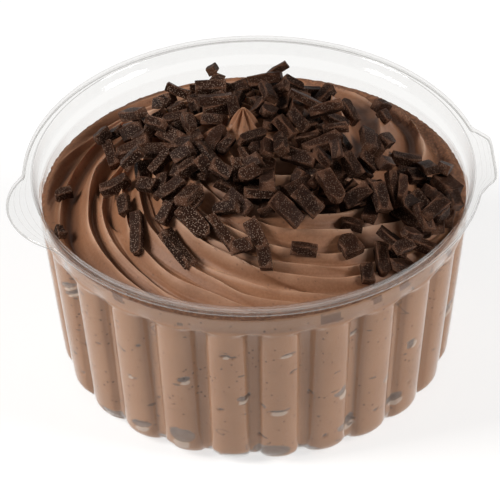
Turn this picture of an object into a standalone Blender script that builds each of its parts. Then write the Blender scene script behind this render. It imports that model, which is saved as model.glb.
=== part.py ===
"""Chocolate mousse in its clear fluted cup, with chocolate sticks heaped on top.

The origin is at the centre of the cup's base, +Z is up and -Y is the front.
Everything is modelled in metres. The three solids are:

  cup              a thin clear shell: flat fluted body, shoulder, flange with skirt, two lid tabs
  mousse           fills the cup and rises in a piped swirl to a small star tip
  chocolate_heap   the uneven blanket of chocolate sticks that lies on the swirl
"""

import math

import bmesh
import bpy

MM = 0.001

# Cup
CUP_HEIGHT = 49.0 * MM
SHEET = 0.45 * MM            # thickness of the formed sheet
RIM_RADIUS = 50.5 * MM
FLANGE_INNER = 48.4 * MM     # where the flat flange turns down into the lid seat
SKIRT_DEPTH = 3.2 * MM
SKIRT_TAPER = 0.5 * MM
SEAT_DEPTH = 4.5 * MM        # below the rim, where the sloping lid seat ends
SEAT_RADIUS = 47.1 * MM
SHOULDER_DEPTH = 8.9 * MM    # below the rim, where the smooth band ends
SHOULDER_RADIUS = 46.9 * MM

# Flutes of the body: rounded crests with narrow flat valleys between them
FLUTES = 24
FLUTE_START = 10.6 * MM      # below the rim, where the flutes have their full depth
CREST_RADIUS = (42.2 * MM, 46.7 * MM)     # at the base and at the flutes' start
VALLEY_RADIUS = (40.4 * MM, 43.8 * MM)
FOOT_FILLET = 4.6 * MM
FOOT_STEP = 1.3 * MM         # height of the ring of vertices half way round the fillet
VALLEY_HALF = 0.10           # half of the valley, as a share of one flute
FLUTE_PHASES = (-VALLEY_HALF, VALLEY_HALF, 0.28, 0.5, 0.72)
FIRST_VALLEY = math.radians(-91.1)

# Lid tabs, in the plane of the flange
ROUND_TAB_CENTRE = (-36.3 * MM, -10.5 * MM)
ROUND_TAB_RADIUS = 17.6 * MM
SQUARE_TAB_ANGLE = math.radians(3.5)
SQUARE_TAB_REACH = 53.0 * MM
SQUARE_TAB_WIDTH = 16.5 * MM
SQUARE_TAB_CORNER = math.atan2(SQUARE_TAB_WIDTH / 2, SQUARE_TAB_REACH)
TAB_SKIRT = 0.9 * MM         # turned-down edge of a tab

# Mousse
GAP = 0.3 * MM
WALL_LEVEL = -6.6 * MM       # mean level at the wall, from the rim
LEVEL_TO_BACK = -1.5 * MM    # the back lies lower than the front
LEVEL_TO_RIGHT = 0.6 * MM
EDGE_DROOP = 0.5 * MM
MOUND_TOP = 11.0 * MM        # above the rim
MOUND_RADIUS = 46.0 * MM
MOUND_FULLNESS = 0.77        # larger is fuller at the shoulders
BULGE_PLACE = (20.0 * MM, 22.0 * MM)      # the last fold of the piping stands out here
BULGE_RISE = 1.8 * MM
BULGE_WIDTH = 10.0 * MM
TIP_PLACE = (-2.0 * MM, 1.2 * MM)
TIP_RISE = 5.2 * MM
TIP_RADIUS = 3.8 * MM
TIP_RIBS = 7
TIP_RIB_DEPTH = 0.9 * MM

# Piped swirl. Each ridge is (angle at RIDGE_RADIUS, sweep inside it, sweep outside it, drop):
# degrees, then degrees turned for each millimetre outwards, then how many millimetres the
# ridge lies under the mound. Seen from above the ridges turn to the left as they run out.
RIDGES = ((-13, 6.5, 5.6, 0.0), (35, 4.5, 3.2, 0.0), (80, 4.3, 4.5, 0.0), (110, 4.0, 5.0, 1.0),
          (140, 1.0, 5.6, 0.0), (176, 3.0, 6.4, 0.0), (197, 3.4, 7.0, 2.2), (221, 5.0, 4.8, 0.0),
          (240, 4.5, 4.5, 0.2), (256, 5.5, 5.0, 2.4), (267, 5.0, 4.8, 0.0), (279, 5.0, 5.6, 0.9),
          (294, 5.0, 4.8, 0.0), (319, 5.3, 4.5, 0.0))
RIDGE_RADIUS = 34.0 * MM
RIDGE_DEPTH = 0.42           # of the width between two ridges, square to their run
GROOVE_WIDEST = 6.5 * MM     # a wider groove gets no deeper
SPREAD_RADIUS = 25.0 * MM    # inside this the ridges spread evenly as they near the tip
SPREAD_SWEEP = 5.0           # and all turn by this much for each millimetre

OUTER_RINGS = (43.2, 40.8, 38.2, 35.4, 32.6, 29.8, 27.0, 24.0, 21.0, 18.0)
MIDDLE_RINGS = (15.0, 12.0, 9.0, 6.2)
TIP_RINGS = (4.4, 2.9, 1.5)

# Chocolate heap: how far out it reaches, by angle, and how thick it lies
HEAP_LIFT = 0.45 * MM
HEAP_THICKNESS = 3.4 * MM
HEAP_EDGE = 1.5 * MM
HEAP_LUMP = 1.4 * MM
HEAP_FRINGE = 1.0 * MM       # the outline runs in and out by this much
HEAP_START = 5.2 * MM        # from the axis of the tip
HEAP_COLUMNS = 52
HEAP_ROWS = 9
HEAP_REACH = ((0, 34), (12, 22), (30, 20), (50, 25), (75, 24), (100, 29), (130, 25), (153, 36),
              (176, 25), (200, 27), (225, 29), (250, 31), (272, 35), (290, 33), (304, 40),
              (318, 44), (345, 44), (360, 34))


def remove_all():
    for thing in list(bpy.data.objects):
        bpy.data.objects.remove(thing)


def material(name, colour, roughness, transmission=0.0, ior=1.5):
    made = bpy.data.materials.new(name)
    made.use_nodes = True
    shader = made.node_tree.nodes["Principled BSDF"]
    shader.inputs["Base Color"].default_value = (*colour, 1.0)
    shader.inputs["Roughness"].default_value = roughness
    shader.inputs["Metallic"].default_value = 0.0
    shader.inputs["Transmission Weight"].default_value = transmission
    shader.inputs["IOR"].default_value = ior
    return made


def mix(a, b, share):
    return a + (b - a) * share


def smooth(low, high, value):
    share = min(max((value - low) / (high - low), 0.0), 1.0)
    return share * share * (3 - 2 * share)


# ---------------------------------------------------------------- columns and rings

def column_angles():
    """Angle and flute phase of every column of vertices round the cup."""
    step = math.tau / FLUTES
    return [(FIRST_VALLEY + (flute + phase) * step, phase)
            for flute in range(FLUTES) for phase in FLUTE_PHASES]


COLUMNS = column_angles()


def lobe(phase):
    """Height of a flute's rounded crest, 0 in the valley and 1 on the crest."""
    away = min(abs(phase), abs(1 - phase))
    share = min(max((away - VALLEY_HALF) / (0.5 - VALLEY_HALF), 0.0), 1.0)
    return math.sqrt(1 - (1 - share) ** 2)


def wall_radius(z, phase, inset):
    """Radius of the fluted wall at height z, moved inwards by inset."""
    full = CUP_HEIGHT - FLUTE_START
    closed = CUP_HEIGHT - SHOULDER_DEPTH
    share = min(z / full, 1.0)
    valley = mix(*VALLEY_RADIUS, share)
    crest = mix(*CREST_RADIUS, share)
    radius = mix(valley, crest, lobe(phase))
    if z > full:
        radius = mix(radius, SHOULDER_RADIUS, min((z - full) / (closed - full), 1.0))
    fillet = FOOT_FILLET - inset
    if z < FOOT_FILLET:
        drop = min(max(1 - (z - inset) / fillet, 0.0), 1.0)
        radius -= fillet * (1 - math.sqrt(1 - drop * drop))
    return radius - inset


def fluted_ring(z, inset):
    return [(wall_radius(z, phase, inset), angle, z) for angle, phase in COLUMNS]


def plain_ring(radius, z, columns):
    return [(radius, angle, z) for angle, phase in columns]


def add_ring(mesh, ring, centre=(0.0, 0.0)):
    return [mesh.verts.new((centre[0] + r * math.cos(a), centre[1] + r * math.sin(a), z))
            for r, a, z in ring]


def stitch(mesh, wide, narrow):
    """Join two rings, one of which has as many vertices as the other or half as many."""
    swap = len(wide) < len(narrow)
    if len(wide) == len(narrow):
        swap = wide[0].co.z > narrow[0].co.z     # the diagonals lie alike on facing walls
    if swap:
        wide, narrow = narrow, wide
    count = len(narrow)
    for k in range(count):
        after = (k + 1) % count
        if len(wide) == count:
            mesh.faces.new((wide[k], wide[after], narrow[k]))
            mesh.faces.new((wide[after], narrow[after], narrow[k]))
        else:
            middle = wide[2 * k + 1]
            mesh.faces.new((wide[2 * k], middle, narrow[k]))
            mesh.faces.new((middle, narrow[after], narrow[k]))
            mesh.faces.new((middle, wide[(2 * k + 2) % len(wide)], narrow[after]))


def cap(mesh, ring, point):
    centre = mesh.verts.new(point)
    for k in range(len(ring)):
        mesh.faces.new((ring[k], ring[(k + 1) % len(ring)], centre))


def finish(mesh, name, finish_material, sharp=35):
    bmesh.ops.recalc_face_normals(mesh, faces=mesh.faces)
    if mesh.calc_volume(signed=True) < 0:
        bmesh.ops.reverse_faces(mesh, faces=mesh.faces)
    data = bpy.data.meshes.new(name)
    mesh.to_mesh(data)
    mesh.free()
    data.materials.append(finish_material)
    data.shade_smooth()
    data.set_sharp_from_angle(angle=math.radians(sharp))
    solid = bpy.data.objects.new(name, data)
    bpy.context.collection.objects.link(solid)
    return solid


# ---------------------------------------------------------------- cup

def round_tab_reach(angle):
    """Distance from the axis to the edge of the round tab, or 0 where there is none."""
    along = ROUND_TAB_CENTRE[0] * math.cos(angle) + ROUND_TAB_CENTRE[1] * math.sin(angle)
    across = ROUND_TAB_CENTRE[1] * math.cos(angle) - ROUND_TAB_CENTRE[0] * math.sin(angle)
    inside = ROUND_TAB_RADIUS ** 2 - across ** 2
    if along <= 0 or inside <= 0:
        return 0.0
    return along + math.sqrt(inside)


def square_tab_reach(angle):
    """The same for the square tab, whose outer edge is straight."""
    turn = math.remainder(angle - SQUARE_TAB_ANGLE, math.tau)
    if abs(turn) > SQUARE_TAB_CORNER + 0.001:
        return 0.0
    return SQUARE_TAB_REACH / math.cos(turn)


def rim_angles(columns):
    """Angles of the rim's vertices, with one on each corner and each foot of the square tab."""
    angles = [angle for angle, phase in columns]
    count = len(angles)
    foot = math.asin(SQUARE_TAB_WIDTH / 2 / RIM_RADIUS) + 0.01
    for side in (-1, 1):
        corner = SQUARE_TAB_ANGLE + side * SQUARE_TAB_CORNER
        nearest = min(range(count), key=lambda k: abs(math.remainder(angles[k] - corner, math.tau)))
        angles[nearest] = corner
        angles[(nearest + side) % count] = SQUARE_TAB_ANGLE + side * foot
    return angles


def rim_ring(inset, z, drop, columns):
    """A ring round the flange's outer edge and both tabs; drop lowers it, except on the tabs."""
    ring = []
    for angle in rim_angles(columns):
        reach = max(RIM_RADIUS, square_tab_reach(angle), round_tab_reach(angle))
        on_tab = reach > RIM_RADIUS + 0.4 * MM
        ring.append((reach - inset, angle, z - (min(drop, TAB_SKIRT) if on_tab else drop)))
    return ring


def make_cup(finish_material):
    mesh = bmesh.new()
    coarse = COLUMNS[::2]
    rim = CUP_HEIGHT
    foot = (0.0, FOOT_STEP, FOOT_FILLET)
    full, closed = rim - FLUTE_START, rim - SHOULDER_DEPTH

    outer = [fluted_ring(z, 0.0) for z in (*foot, full, closed)]
    outer.append(plain_ring(SEAT_RADIUS, rim - SEAT_DEPTH, coarse))
    flange = [plain_ring(FLANGE_INNER + 0.1 * MM, rim - SHEET, coarse),
              rim_ring(SHEET, rim - SHEET, 0.0, coarse),
              rim_ring(SKIRT_TAPER + SHEET, rim, SKIRT_DEPTH, coarse),
              rim_ring(SKIRT_TAPER, rim, SKIRT_DEPTH, coarse),
              rim_ring(0.0, rim, 0.0, coarse),
              plain_ring(FLANGE_INNER, rim, coarse)]
    inner = [plain_ring(SEAT_RADIUS - SHEET, rim - SEAT_DEPTH, coarse)]
    inner += [fluted_ring(z, SHEET) for z in (closed, full, *reversed((SHEET, *foot[1:])))]

    rings = [add_ring(mesh, ring) for ring in outer + flange + inner]
    for below, above in zip(rings, rings[1:]):
        stitch(mesh, below, above)
    cap(mesh, rings[0], (0, 0, 0))
    cap(mesh, rings[-1], (0, 0, SHEET))
    return finish(mesh, "cup", finish_material, 40)


# ---------------------------------------------------------------- mousse

def wall_level(angle):
    return CUP_HEIGHT + WALL_LEVEL + LEVEL_TO_BACK * math.sin(angle) + LEVEL_TO_RIGHT * math.cos(angle)


def ridge_angles(radius):
    """Angles of the ridges where they cross a circle, in radians, the first one repeated."""
    out = (max(radius, SPREAD_RADIUS) - RIDGE_RADIUS) / MM
    angles = [start + out * (inner if out < 0 else outer) for start, inner, outer, drop in RIDGES]
    if radius < SPREAD_RADIUS:
        even = 1 - radius / SPREAD_RADIUS
        turn = SPREAD_SWEEP * (radius - SPREAD_RADIUS) / MM
        step = 360 / len(RIDGES)
        angles = [mix(angle, angles[0] + k * step, even) + turn for k, angle in enumerate(angles)]
    angles = [math.radians(angle) for angle in angles]
    return angles + [angles[0] + math.tau]


def swirl_place(angle, radius):
    """Where an angle lies among the ridges on its circle: 2.5 is midway from ridge 2 to ridge 3."""
    angles = ridge_angles(radius)
    angle = angles[0] + (angle - angles[0]) % math.tau
    for k, (start, end) in enumerate(zip(angles, angles[1:])):
        if angle <= end:
            return k + (angle - start) / (end - start)
    return 0.0


def swirl_places():
    """A place among the ridges for every column, with a column on each ridge's crest."""
    places = [swirl_place(angle, OUTER_RINGS[0] * MM) for angle, phase in COLUMNS]
    count = len(RIDGES)
    for k in range(count):
        nearest = min(range(0, len(places), 2),
                      key=lambda j: abs(math.remainder(places[j] - k, count)))
        places[nearest] = k
    return places


PLACES = swirl_places()


def swirl_angle(place, radius):
    angles = ridge_angles(radius)
    k = int(place) % len(RIDGES)
    return mix(angles[k], angles[k + 1], place - int(place))


def groove(place, radius):
    """How deep the surface lies under the mound: least on a sharp crest, most between two."""
    angles = ridge_angles(radius)
    k = int(place) % len(RIDGES)
    start, inner, outer, drop = RIDGES[k]
    next_drop = RIDGES[(k + 1) % len(RIDGES)][3]
    sweep = math.radians(inner if radius < RIDGE_RADIUS else outer) / MM
    width = radius * (angles[k + 1] - angles[k]) / math.hypot(1, radius * sweep)
    fade = smooth(4 * MM, 9 * MM, radius) * (1 - smooth(42 * MM, 45.5 * MM, radius))
    depth = RIDGE_DEPTH * min(width, GROOVE_WIDEST) * abs(math.sin(math.pi * place)) ** 0.8
    return fade * (depth + mix(drop, next_drop, place - int(place)) * MM)


def ring_centre(radius):
    share = max(1 - radius / MOUND_RADIUS, 0.0)
    return TIP_PLACE[0] * share, TIP_PLACE[1] * share


def crest_height(radius, angle):
    """Height of the mound over the crests of its ridges, radius from the ring's own centre."""
    share = min(radius / MOUND_RADIUS, 1.0)
    dome = (1 - share * share) ** (1 / MOUND_FULLNESS)
    centre = ring_centre(radius)
    away = math.hypot(centre[0] + radius * math.cos(angle) - BULGE_PLACE[0],
                      centre[1] + radius * math.sin(angle) - BULGE_PLACE[1])
    bulge = BULGE_RISE * math.exp(-(away / BULGE_WIDTH) ** 2)
    return mix(wall_level(angle), CUP_HEIGHT + MOUND_TOP, dome) + bulge


def mousse_height(radius, place):
    """Height of the swirl's surface, with its grooves and the pulled star tip."""
    angle = swirl_angle(place, radius)
    inside = max(1 - radius / TIP_RADIUS, 0.0)
    tip = TIP_RISE * inside ** 1.3
    rib = 4 * inside * (1 - inside) * TIP_RIB_DEPTH * math.sin(TIP_RIBS * angle)
    return crest_height(radius, angle) - groove(place, radius) + tip + rib


def swirl_ring(radius, places):
    return [(radius, swirl_angle(place, radius), mousse_height(radius, place)) for place in places]


def make_mousse(finish_material):
    mesh = bmesh.new()
    inset = SHEET + GAP
    rings = [add_ring(mesh, fluted_ring(z, inset)) for z in (inset, FOOT_STEP, FOOT_FILLET)]
    for z in (CUP_HEIGHT - FLUTE_START, CUP_HEIGHT - SHOULDER_DEPTH):
        rings.append(add_ring(mesh, fluted_ring(z, inset)))
    rings.append(add_ring(mesh, [(SHOULDER_RADIUS - inset, angle, wall_level(angle) - EDGE_DROOP)
                                 for angle, phase in COLUMNS]))
    for sizes, places in ((OUTER_RINGS, PLACES), (MIDDLE_RINGS + TIP_RINGS, PLACES[::2])):
        for size in sizes:
            radius = size * MM
            rings.append(add_ring(mesh, swirl_ring(radius, places), ring_centre(radius)))
    for below, above in zip(rings, rings[1:]):
        stitch(mesh, below, above)
    cap(mesh, rings[0], (0, 0, inset))
    cap(mesh, rings[-1], (*TIP_PLACE, CUP_HEIGHT + MOUND_TOP + TIP_RISE))
    return finish(mesh, "mousse", finish_material, 60)


# ---------------------------------------------------------------- chocolate heap

def heap_reach(angle):
    degrees = math.degrees(angle) % 360
    for (start, low), (end, high) in zip(HEAP_REACH, HEAP_REACH[1:]):
        if start <= degrees <= end:
            return mix(low, high, smooth(start, end, degrees)) * MM
    return HEAP_REACH[0][1] * MM


def uneven(column, row):
    """A number from -1 to 1 that jumps from one vertex to the next, as piled sticks do."""
    return 2 * math.modf(abs(math.sin(12.9 * column + 78.2 * row) * 4375.85))[0] - 1


def make_heap(finish_material):
    """One blanket on the ridges, from the foot of the tip out to the heap's uneven edge."""
    mesh = bmesh.new()
    rows = []
    for i in range(HEAP_ROWS):
        share = i / (HEAP_ROWS - 1)
        inside = smooth(0.0, 0.3, 1 - share) * smooth(0.0, 0.25, share)
        floor, roof = [], []
        for j in range(HEAP_COLUMNS):
            angle = math.tau * j / HEAP_COLUMNS
            reach = heap_reach(angle) + HEAP_FRINGE * uneven(j, 0)
            radius = mix(HEAP_START, reach, share)
            centre = ring_centre(radius)
            x = centre[0] + radius * math.cos(angle)
            y = centre[1] + radius * math.sin(angle)
            base = crest_height(radius, angle) + HEAP_LIFT
            thick = mix(HEAP_EDGE, HEAP_THICKNESS + HEAP_LUMP * uneven(j, i + 1), inside)
            floor.append(mesh.verts.new((x, y, base)))
            roof.append(mesh.verts.new((x, y, base + thick)))
        rows.append((floor, roof))
    loop = [floor for floor, roof in rows] + [roof for floor, roof in reversed(rows)]
    for here, there in zip(loop, loop[1:] + loop[:1]):
        stitch(mesh, here, there)
    return finish(mesh, "chocolate_heap", finish_material, 12)


def main():
    remove_all()
    make_cup(material("clear_plastic", (0.93, 0.94, 0.94), 0.08, transmission=0.9, ior=1.5))
    make_mousse(material("chocolate_mousse", (0.30, 0.145, 0.085), 0.55))
    make_heap(material("dark_chocolate", (0.035, 0.016, 0.011), 0.5))


main()
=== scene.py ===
# %% [markdown]
# # Chocolate mousse in a clear fluted cup
#
# A thin clear cup holds a whipped chocolate mousse. The mousse fills the fluted body, rises
# over the rim in a piped swirl with sharp ridges, and ends in a small pulled star tip.
# Short dark chocolate sticks are heaped over it.
#
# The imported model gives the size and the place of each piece, so it is loaded first. Its
# three solids stay as they are for collision, and a finer piece is shown in place of each.

# %% Load the frame and keep its box
import math
import random

import bpy
import numpy as np
from mathutils import Matrix, Vector, noise
from mathutils.bvhtree import BVHTree


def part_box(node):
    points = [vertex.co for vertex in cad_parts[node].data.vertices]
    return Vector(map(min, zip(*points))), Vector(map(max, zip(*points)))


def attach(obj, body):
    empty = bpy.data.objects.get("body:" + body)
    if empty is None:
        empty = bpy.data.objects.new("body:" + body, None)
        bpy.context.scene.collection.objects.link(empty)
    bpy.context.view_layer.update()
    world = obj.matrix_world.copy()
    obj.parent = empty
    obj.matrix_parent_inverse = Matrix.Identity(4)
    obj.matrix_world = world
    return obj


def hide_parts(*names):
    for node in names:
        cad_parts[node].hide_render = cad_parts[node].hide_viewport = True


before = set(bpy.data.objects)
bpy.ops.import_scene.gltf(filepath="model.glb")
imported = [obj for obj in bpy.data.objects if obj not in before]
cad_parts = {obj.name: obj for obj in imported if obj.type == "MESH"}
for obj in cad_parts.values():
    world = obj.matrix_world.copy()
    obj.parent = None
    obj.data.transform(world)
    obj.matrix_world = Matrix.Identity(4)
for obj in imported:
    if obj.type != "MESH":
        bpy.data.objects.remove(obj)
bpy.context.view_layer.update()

MM = 0.001
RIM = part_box("cup")[1].z
TIP_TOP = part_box("mousse")[1].z
print("rim at", round(RIM / MM, 2), "mm, tip at", round(TIP_TOP / MM, 2), "mm")

# %% [markdown]
# ## Camera
#
# A long lens far away keeps the cup's ellipses calm, as a catalogue view does. The camera
# stands in front and looks down by 37.5 degrees. It is tipped a degree about its own axis,
# so its rotation is that tip first and the downward look after it.

# %% Camera
CAMERA_DISTANCE = 1.5
CAMERA_DOWN = math.radians(37.5)
CAMERA_TIP = math.radians(-1.07)
CAMERA_LENS = 491.1
CAMERA_SENSOR = 36.0
AIM = Vector((-1.05 * MM, 0.0, 27.05 * MM))


def make_camera():
    lens = bpy.data.cameras.new("camera")
    lens.lens = CAMERA_LENS
    lens.sensor_width = CAMERA_SENSOR
    lens.clip_end = 20.0
    camera = bpy.data.objects.new("camera", lens)
    back = Vector((0.0, -math.cos(CAMERA_DOWN), math.sin(CAMERA_DOWN)))
    look = Matrix.Rotation(math.pi / 2 - CAMERA_DOWN, 4, "X")
    tip = Matrix.Rotation(CAMERA_TIP, 4, "Z")
    camera.matrix_world = Matrix.Translation(AIM + CAMERA_DISTANCE * back) @ look @ tip
    bpy.context.scene.collection.objects.link(camera)
    bpy.context.scene.camera = camera
    return camera


camera = make_camera()
print("camera at", [round(c, 3) for c in camera.matrix_world.translation])

# %% [markdown]
# ## Light
#
# Clear plastic shows only what it mirrors and what it dims, so the room matters as much as
# the lamps. Two soft lamps stand low at the left and the right, the left one stronger. They
# draw the ridges, leave the grooves dark and show as bright arcs in the far side of the cup.
# A wide weak one at the back shows in the flat rim, and a pale room fills the shadows.

# %% Room and lamps
ROOM_LIGHT = 0.15
CUP_MIDDLE = Vector((0, 0, 0.04))
SIDE_LAMP_SIZE = (0.36, 0.36)
WARM_WHITE = (1.0, 0.98, 0.95)


def make_room(strength):
    room = bpy.data.worlds.new("room")
    room.use_nodes = True
    sky = room.node_tree.nodes["Background"]
    sky.inputs["Color"].default_value = (1.0, 0.99, 0.98, 1.0)
    sky.inputs["Strength"].default_value = strength
    bpy.context.scene.world = room


def soft_lamp(name, place, size, power, colour=(1.0, 1.0, 1.0)):
    lamp = bpy.data.lights.new(name, "AREA")
    lamp.shape = "RECTANGLE"
    lamp.size, lamp.size_y = size
    lamp.energy = power
    lamp.color = colour
    holder = bpy.data.objects.new(name, lamp)
    holder.location = place
    holder.rotation_euler = (CUP_MIDDLE - Vector(place)).to_track_quat("-Z", "Y").to_euler()
    bpy.context.scene.collection.objects.link(holder)
    return holder


bpy.context.scene.view_settings.view_transform = "Standard"
make_room(ROOM_LIGHT)
soft_lamp("left_lamp", (-0.80, -0.20, 0.62), SIDE_LAMP_SIZE, 10.4, WARM_WHITE)
soft_lamp("right_lamp", (0.85, -0.30, 0.55), SIDE_LAMP_SIZE, 7.4, WARM_WHITE)
soft_lamp("back_lamp", (0.0, 1.15, 0.95), (1.3, 0.8), 2.2)
print("3 lamps and a pale room")

# %% [markdown]
# ## Shader maths
#
# Node trees are easier to read as sums. One small class wraps a socket: adding or
# multiplying two of them adds the Math node that does it. Its method `node` makes any
# other node from a type, its settings and what its sockets get.

# %% Shader helper
class Wire:
    """A value on its way between two nodes of a material."""

    def __init__(self, tree, socket=None):
        self.tree = tree
        self.socket = socket

    def node(self, kind, settings, inputs, output=0):
        made = self.tree.nodes.new(kind)
        for name, value in settings.items():
            setattr(made, name, value)
        for name, value in inputs.items():
            if isinstance(value, Wire):
                self.tree.links.new(value.socket, made.inputs[name])
            else:
                made.inputs[name].default_value = value
        return Wire(self.tree, made.outputs[output])

    def math(self, operation, first, second=0.0):
        return self.node("ShaderNodeMath", {"operation": operation}, {0: first, 1: second})

    def __add__(self, other):
        return self.math("ADD", self, other)

    def __sub__(self, other):
        return self.math("SUBTRACT", self, other)

    def __rsub__(self, other):
        return self.math("SUBTRACT", other, self)

    def __mul__(self, other):
        return self.math("MULTIPLY", self, other)

    def __pow__(self, other):
        return self.math("POWER", self, other)

    __radd__ = __add__
    __rmul__ = __mul__

    def between(self, low, high):
        """0 below low, 1 above high and a smooth rise from one to the other."""
        return self.node("ShaderNodeMapRange", {"interpolation_type": "SMOOTHSTEP"},
                         {"Value": self, "From Min": low, "From Max": high})

    def blend(self, under, over):
        """Two colours, with this value as the share of the second."""
        return self.node("ShaderNodeMix", {"data_type": "RGBA"}, {0: self, 6: under, 7: over}, 2)

    def place(self):
        return self.node("ShaderNodeTexCoord", {}, {}, "Object")

    def read(self, name):
        """A number that the piece carries on its vertices."""
        return self.node("ShaderNodeAttribute", {"attribute_name": name}, {}, "Fac")

    def clouds(self, place, scale, detail=2.0):
        return self.node("ShaderNodeTexNoise", {}, {"Vector": place, "Scale": scale, "Detail": detail})

    def spots(self, place, scale):
        """0 in the middle of each spot, rising away from it."""
        return self.node("ShaderNodeTexVoronoi", {}, {"Vector": place, "Scale": scale}, "Distance")


def start_material(name, colour, roughness):
    material = bpy.data.materials.new(name)
    material.use_nodes = True
    shader = material.node_tree.nodes["Principled BSDF"]
    shader.inputs["Base Color"].default_value = (*colour, 1.0)
    shader.inputs["Roughness"].default_value = roughness
    return material, Wire(material.node_tree), shader


def plug(wire, shader, name):
    wire.tree.links.new(wire.socket, shader.inputs[name])


def rgb(red, green, blue):
    return (red, green, blue, 1.0)


# %% [markdown]
# ## Floor
#
# The floor is a plain pale sweep.

# %% Floor
def make_floor():
    bpy.ops.mesh.primitive_circle_add(vertices=64, radius=3.0, fill_type="NGON")
    floor = bpy.context.object
    floor.name = "floor"
    material, wire, shader = start_material("pale_floor", (0.35, 0.35, 0.35), 0.7)
    shader.inputs["Emission Color"].default_value = rgb(1, 1, 1)
    shader.inputs["Emission Strength"].default_value = 0.68
    floor.data.materials.append(material)
    return floor


floor = make_floor()
print("floor 6 m across")

# %% [markdown]
# ## Rings and skins
#
# The cup and the mousse are both round things whose outline changes with the angle. Each
# is a stack of rings with equally many points, and a skin of quads runs over them. The
# rings are numpy arrays, so a formula gives a whole ring at once.

# %% Helpers for ringed skins
def mix(a, b, share):
    return a + (b - a) * share


def smooth(low, high, value):
    share = np.clip((value - low) / (high - low), 0.0, 1.0)
    return share * share * (3 - 2 * share)


def turn_to_points(radius, angle, height, centre=(0.0, 0.0)):
    """Rows of x, y and z from radius, angle and height, any of which may be one number."""
    radius, angle, height = np.broadcast_arrays(radius, angle, height)
    return np.stack([centre[0] + radius * np.cos(angle), centre[1] + radius * np.sin(angle), height], -1)


def add_piece(name, points, faces, material):
    data = bpy.data.meshes.new(name)
    data.from_pydata([tuple(p) for p in points], [], faces)
    data.update()
    data.shade_smooth()
    data.materials.append(material)
    piece = bpy.data.objects.new(name, data)
    bpy.context.scene.collection.objects.link(piece)
    return piece


def band_faces(rows, columns, start=0):
    """Quads between rows of equally many points, closed all round."""
    faces = []
    for i in range(rows - 1):
        for j in range(columns):
            after = (j + 1) % columns
            faces.append((start + i * columns + j, start + i * columns + after,
                          start + (i + 1) * columns + after, start + (i + 1) * columns + j))
    return faces


def ringed_skin(name, rings, ends, material):
    """Quads from ring to ring, and a fan of triangles to the point at each end."""
    rows, columns = len(rings), len(rings[0])
    faces = band_faces(rows, columns)
    points = list(np.concatenate(rings)) + list(ends)
    for j in range(columns):
        after = (j + 1) % columns
        faces.append((after, j, rows * columns))
        faces.append(((rows - 1) * columns + j, (rows - 1) * columns + after, rows * columns + 1))
    return add_piece(name, points, faces, material)


def mark(piece, name, values):
    """A number on each vertex, which a material can read."""
    layer = piece.data.attributes.new(name, "FLOAT", "POINT")
    layer.data.foreach_set("value", np.asarray(values, np.float32))


# %% [markdown]
# ## Flutes
#
# The body of the cup has 24 rounded flutes with a narrow flat valley between each two. A
# function gives the wall's radius at any height and place on a flute, so the cup's two
# faces and the mousse behind them follow one and the same shape.

# %% Sizes of the cup
SHEET = 0.45 * MM
RIM_RADIUS = 50.5 * MM
RIM_SPARE = 0.06 * MM
FLANGE_INNER = 48.4 * MM
SKIRT_DEPTH = 1.3 * MM
SKIRT_TAPER = 0.2 * MM
SEAT_HEIGHT = RIM - 4.5 * MM
SEAT_RADIUS = 47.1 * MM
SHOULDER_HEIGHT = RIM - 8.9 * MM
SHOULDER_RADIUS = 46.9 * MM

FLUTES = 24
FLUTE_HEIGHT = RIM - 10.6 * MM
CREST_RADIUS = (42.2 * MM, 46.7 * MM)
VALLEY_RADIUS = (40.4 * MM, 43.8 * MM)
VALLEY_HALF = 0.10
FOOT_FILLET = 4.6 * MM
FIRST_VALLEY = math.radians(-91.1)

COLUMNS = FLUTES * 20
turns = np.arange(COLUMNS) / COLUMNS * FLUTES
cup_angles = FIRST_VALLEY + turns / FLUTES * math.tau
cup_phases = turns % 1.0


def lobe(phase):
    away = np.minimum(phase, 1 - phase)
    share = np.clip((away - VALLEY_HALF) / (0.5 - VALLEY_HALF), 0.0, 1.0)
    return np.sqrt(1 - (1 - share) ** 2)


def wall_radius(height, phase, inset):
    share = np.minimum(height / FLUTE_HEIGHT, 1.0)
    radius = mix(mix(*VALLEY_RADIUS, share), mix(*CREST_RADIUS, share), lobe(phase))
    closing = smooth(FLUTE_HEIGHT, SHOULDER_HEIGHT, height)
    radius = mix(radius, SHOULDER_RADIUS, closing)
    fillet = FOOT_FILLET - inset
    drop = np.clip(1 - (height - inset) / fillet, 0.0, 1.0)
    return radius - fillet * (1 - np.sqrt(1 - drop * drop)) - inset


print("flutes:", FLUTES, "with", COLUMNS // FLUTES, "columns each")

# %% [markdown]
# ## Rim and tabs
#
# The rim is a flat flange with a short skirt turned down round it. It carries two lid tabs:
# a round one on the left and a squared one on the right. Both lie in the plane of the
# flange, and there the skirt is only a low turned edge.

# %% Reach of the rim
ROUND_TAB_CENTRE = (-36.3 * MM, -10.5 * MM)
ROUND_TAB_RADIUS = 17.6 * MM
SQUARE_TAB_ANGLE = math.radians(3.5)
SQUARE_TAB_REACH = 53.0 * MM
SQUARE_TAB_WIDTH = 16.5 * MM
TAB_SKIRT = 0.9 * MM


def round_tab_reach(angle):
    along = ROUND_TAB_CENTRE[0] * np.cos(angle) + ROUND_TAB_CENTRE[1] * np.sin(angle)
    across = ROUND_TAB_CENTRE[1] * np.cos(angle) - ROUND_TAB_CENTRE[0] * np.sin(angle)
    inside = np.maximum(ROUND_TAB_RADIUS ** 2 - across ** 2, 0.0)
    return np.where((along > 0) & (inside > 0), along + np.sqrt(inside), 0.0)


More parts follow.
